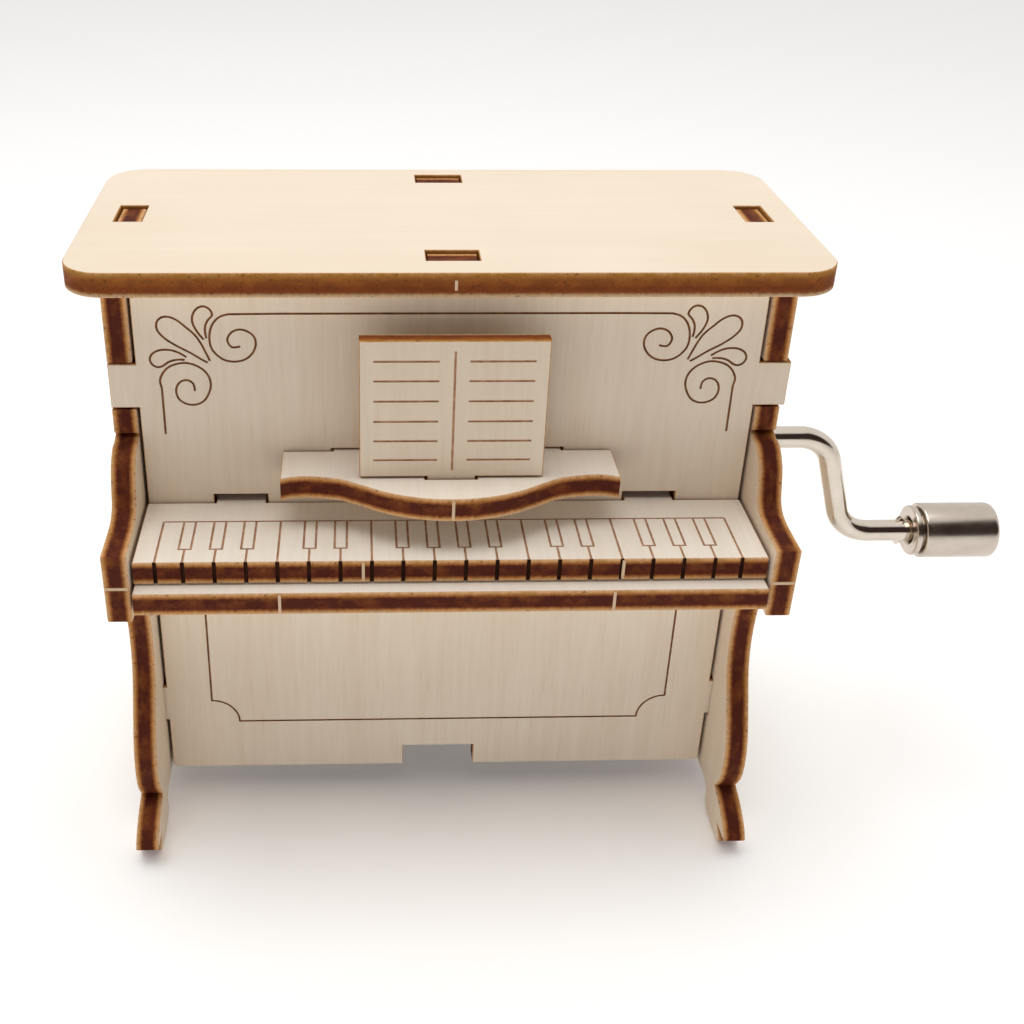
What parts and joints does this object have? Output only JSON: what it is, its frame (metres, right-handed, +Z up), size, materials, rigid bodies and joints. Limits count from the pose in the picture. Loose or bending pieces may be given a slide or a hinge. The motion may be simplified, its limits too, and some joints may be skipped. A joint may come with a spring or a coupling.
{
  "type": "wooden 3d jigsaw model",
  "caption": "Small slotted plywood upright piano with keyboard, music shelf and open book, holding a hand cranked music box movement turned by a bent wire handle.",
  "frame": {"origin": "centre of the footprint of the whole object, crank included, on the surface it stands on", "axes": "+Z up, -Y toward the keyboard side, +X toward the crank side"},
  "size_m": [0.1226, 0.0514, 0.081],
  "materials": {
    "plywood": "bare laser cut basswood plywood with charred edges",
    "keyboard_plywood": "bare laser cut basswood plywood with charred edges",
    "zinc_casting": "plain zinc die casting",
    "comb_steel": "ground spring steel",
    "brass": "satin",
    "bright_nickel": "bright nickel plate",
    "bracket_steel": "plated sheet steel",
    "screw_steel": "plated steel"
  },
  "bodies": {
    "cabinet": {"top_board": "plywood", "left_side": "plywood", "right_side": "plywood", "front_panel": "plywood", "back_panel": "plywood", "key_bed": "plywood", "music_book": "plywood", "keyboard": "keyboard_plywood", "music_shelf": "keyboard_plywood", "bedplate": "zinc_casting", "comb_rest": "zinc_casting", "comb": "comb_steel", "worm_cage": "bracket_steel", "top_bearing": "bracket_steel", "low_bearing": "bracket_steel", "mount_screw_1": "screw_steel", "mount_screw_2": "screw_steel", "mount_screw_3": "screw_steel", "mount_screw_4": "screw_steel", "comb_screw_1": "screw_steel", "comb_screw_2": "screw_steel", "comb_screw_3": "screw_steel", "cage_screw_1": "screw_steel", "cage_screw_2": "screw_steel", "top_bearing_screw": "screw_steel", "low_bearing_screw": "screw_steel"},
    "crank": {"crank_wire": "bright_nickel", "worm": "brass"},
    "knob": {"knob_sleeve": "bright_nickel", "knob_cap": "bright_nickel"},
    "cylinder": {"music_cylinder": "brass", "cylinder_shaft": "comb_steel", "worm_wheel": "brass"}
  },
  "joints": [
    {"name": "crank_spin", "type": "hinge", "parent": "cabinet", "child": "crank", "pos_m": [0.0287, 0.00025, 0.05175], "axis": [1, 0, 0], "continuous": true},
    {"name": "knob_spin", "type": "hinge", "parent": "crank", "child": "knob", "pos_m": [0.0557, 0.00025, 0.03675], "axis": [1, 0, 0], "continuous": true},
    {"name": "cylinder_spin", "type": "hinge", "parent": "cabinet", "child": "cylinder", "pos_m": [-0.0103, 0.00865, 0.035], "axis": [0, 0, 1], "continuous": true}
  ],
  "couplings": [
    {"joint": "cylinder_spin", "follows": "crank_spin", "ratio": -0.076923}
  ]
}
